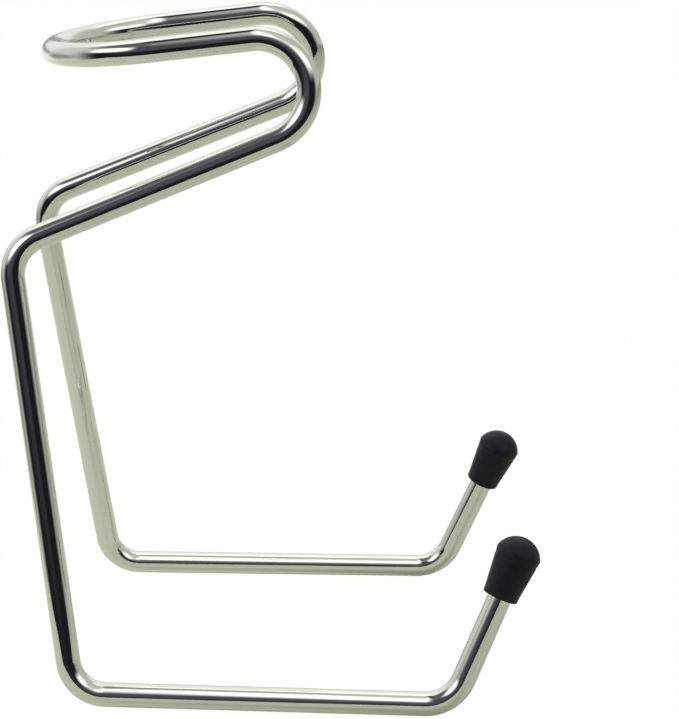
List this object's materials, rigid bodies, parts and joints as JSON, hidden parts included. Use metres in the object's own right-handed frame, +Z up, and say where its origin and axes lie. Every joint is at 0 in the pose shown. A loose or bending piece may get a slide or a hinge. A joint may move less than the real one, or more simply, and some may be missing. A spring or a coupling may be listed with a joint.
{
  "type": "headphone hook",
  "caption": "Double headphone hook bent from polished round wire, with a loop that slips over a desktop's edge, two cradle arms and soft push-on end caps.",
  "frame": {"origin": "on the desktop under the wire, midway between the arms, where they run into the main bend", "axes": "+X from the closed loop towards the user, +Y across the two arms, +Z up from the desktop"},
  "size_m": [0.1026, 0.0942, 0.1415],
  "materials": {
    "chrome_wire": "polished bright metal with a slight warm tint",
    "soft_caps": "satin moulded black"
  },
  "bodies": {
    "root": {"bent_wire": "chrome_wire", "left_end_cap": "soft_caps", "right_end_cap": "soft_caps"}
  },
  "joints": []
}
